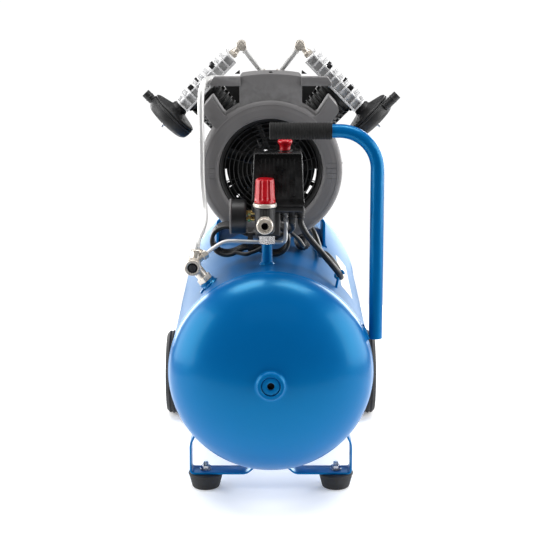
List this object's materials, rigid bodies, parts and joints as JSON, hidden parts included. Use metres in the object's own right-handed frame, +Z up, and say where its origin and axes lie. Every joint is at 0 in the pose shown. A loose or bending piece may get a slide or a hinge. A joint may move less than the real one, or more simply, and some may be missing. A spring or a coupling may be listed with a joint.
{
  "type": "air compressor",
  "caption": "Wheeled air compressor: a horizontal tank with a direct-drive V-twin pump on top, pressure switch, regulator, gauge and an upright pull handle.",
  "frame": {"origin": "on the floor under the middle of the tank", "axes": "+Z up, -Y towards the handle and switch end, +Y towards the wheel end, +X to the right seen from the front"},
  "size_m": [0.4068, 0.764, 0.6701],
  "materials": {
    "tank_blue": "gloss",
    "black_plastic": "satin",
    "wheel_black": "satin",
    "grey_plastic": "matte",
    "black_paint": "satin",
    "rubber_black": "matte",
    "foam_black": "matte",
    "cable_black": "satin",
    "cast_alu": "cast, satin",
    "pipe_alu": "satin",
    "nickel_brass": "nickel plated, semi-gloss",
    "brass": "semi-gloss",
    "steel": "zinc plated",
    "red_plastic": "semi-gloss"
  },
  "bodies": {
    "frame": {"tank_shell": "tank_blue", "riser_pipe": "tank_blue", "front_plug": "tank_blue", "rear_plug": "tank_blue", "pump_bracket": "tank_blue", "foot_bracket": "tank_blue", "handle_tube": "tank_blue", "wheel_bracket_left": "tank_blue", "wheel_bracket_right": "tank_blue", "fan_guard": "black_plastic", "filter_base_left": "black_plastic", "filter_base_right": "black_plastic", "filter_cover_left": "black_plastic", "filter_cover_right": "black_plastic", "motor_end_bell": "black_plastic", "capacitor_box": "black_plastic", "switch_base": "black_plastic", "switch_cover": "black_plastic", "gauge_case": "black_plastic", "mains_plug": "black_plastic", "shroud": "grey_plastic", "crankcase": "black_paint", "cylinder_left": "black_paint", "cylinder_right": "black_paint", "motor_shell": "black_paint", "manifold_block": "black_paint", "regulator_body": "black_paint", "rubber_foot_left": "rubber_black", "rubber_foot_right": "rubber_black", "handle_grip": "foam_black", "motor_lead": "cable_black", "mains_lead": "cable_black", "mains_hank": "cable_black", "mains_tail": "cable_black", "head_left": "cast_alu", "head_right": "cast_alu", "link_pipe": "pipe_alu", "discharge_pipe": "pipe_alu", "unloader_pipe": "pipe_alu", "head_elbow_left": "nickel_brass", "head_elbow_right": "nickel_brass", "check_valve": "nickel_brass", "coupler_body": "nickel_brass", "drain_body": "brass", "foot_bolt_left": "steel", "foot_bolt_right": "steel"},
    "wheel_left": {"wheel_tyre_left": "wheel_black", "wheel_rim_left": "black_plastic"},
    "wheel_right": {"wheel_tyre_right": "wheel_black", "wheel_rim_right": "black_plastic"},
    "crank": {"crankshaft": "steel", "fan": "black_plastic"},
    "piston_left": {"piston_left": "cast_alu"},
    "piston_right": {"piston_right": "cast_alu"},
    "switch_knob": {"switch_knob": "red_plastic"},
    "regulator_knob": {"regulator_knob": "red_plastic"},
    "drain_knob": {"drain_knob": "brass"},
    "relief_ring": {"relief_ring": "steel"},
    "coupler_sleeve": {"coupler_sleeve": "nickel_brass"},
    "gauge_needle": {"gauge_needle": "red_plastic"}
  },
  "joints": [
    {"name": "wheel_left_spin", "type": "hinge", "parent": "frame", "child": "wheel_left", "pos_m": [-0.1674, 0.176, 0.073], "axis": [1, 0, 0], "continuous": true},
    {"name": "wheel_right_spin", "type": "hinge", "parent": "frame", "child": "wheel_right", "pos_m": [0.1674, 0.176, 0.073], "axis": [1, 0, 0], "continuous": true},
    {"name": "crank_spin", "type": "hinge", "parent": "frame", "child": "crank", "pos_m": [0, -0.03, 0.479], "axis": [0, 1, 0], "continuous": true},
    {"name": "piston_left_stroke", "type": "slide", "parent": "frame", "child": "piston_left", "axis": [-0.7071, 0, 0.7071], "range_m": [-0.014, 0.014]},
    {"name": "piston_right_stroke", "type": "slide", "parent": "frame", "child": "piston_right", "axis": [0.7071, 0, 0.7071], "range_m": [-0.014, 0.014]},
    {"name": "switch_knob_push", "type": "slide", "parent": "frame", "child": "switch_knob", "axis": [0, 0, 1], "range_m": [-0.005, 0]},
    {"name": "regulator_knob_turn", "type": "hinge", "parent": "frame", "child": "regulator_knob", "pos_m": [-0.0085, -0.2885, 0.4725], "axis": [0, 0, 1], "range_deg": [-540, 540]},
    {"name": "drain_knob_turn", "type": "hinge", "parent": "frame", "child": "drain_knob", "pos_m": [0, 0.05, 0.034], "axis": [0, 0, 1], "range_deg": [0, 360]},
    {"name": "relief_ring_pull", "type": "slide", "parent": "frame", "child": "relief_ring", "axis": [0, 1, 0], "range_m": [0, 0.004], "stiffness_N_per_m": 400},
    {"name": "coupler_sleeve_slide", "type": "slide", "parent": "frame", "child": "coupler_sleeve", "axis": [0, 1, 0], "range_m": [0, 0.004], "stiffness_N_per_m": 500},
    {"name": "gauge_needle_sweep", "type": "hinge", "parent": "frame", "child": "gauge_needle", "pos_m": [-0.056, -0.25, 0.4275], "axis": [1, 0, 0], "range_deg": [0, 270], "stiffness_Nm_per_rad": 0.002}
  ]
}
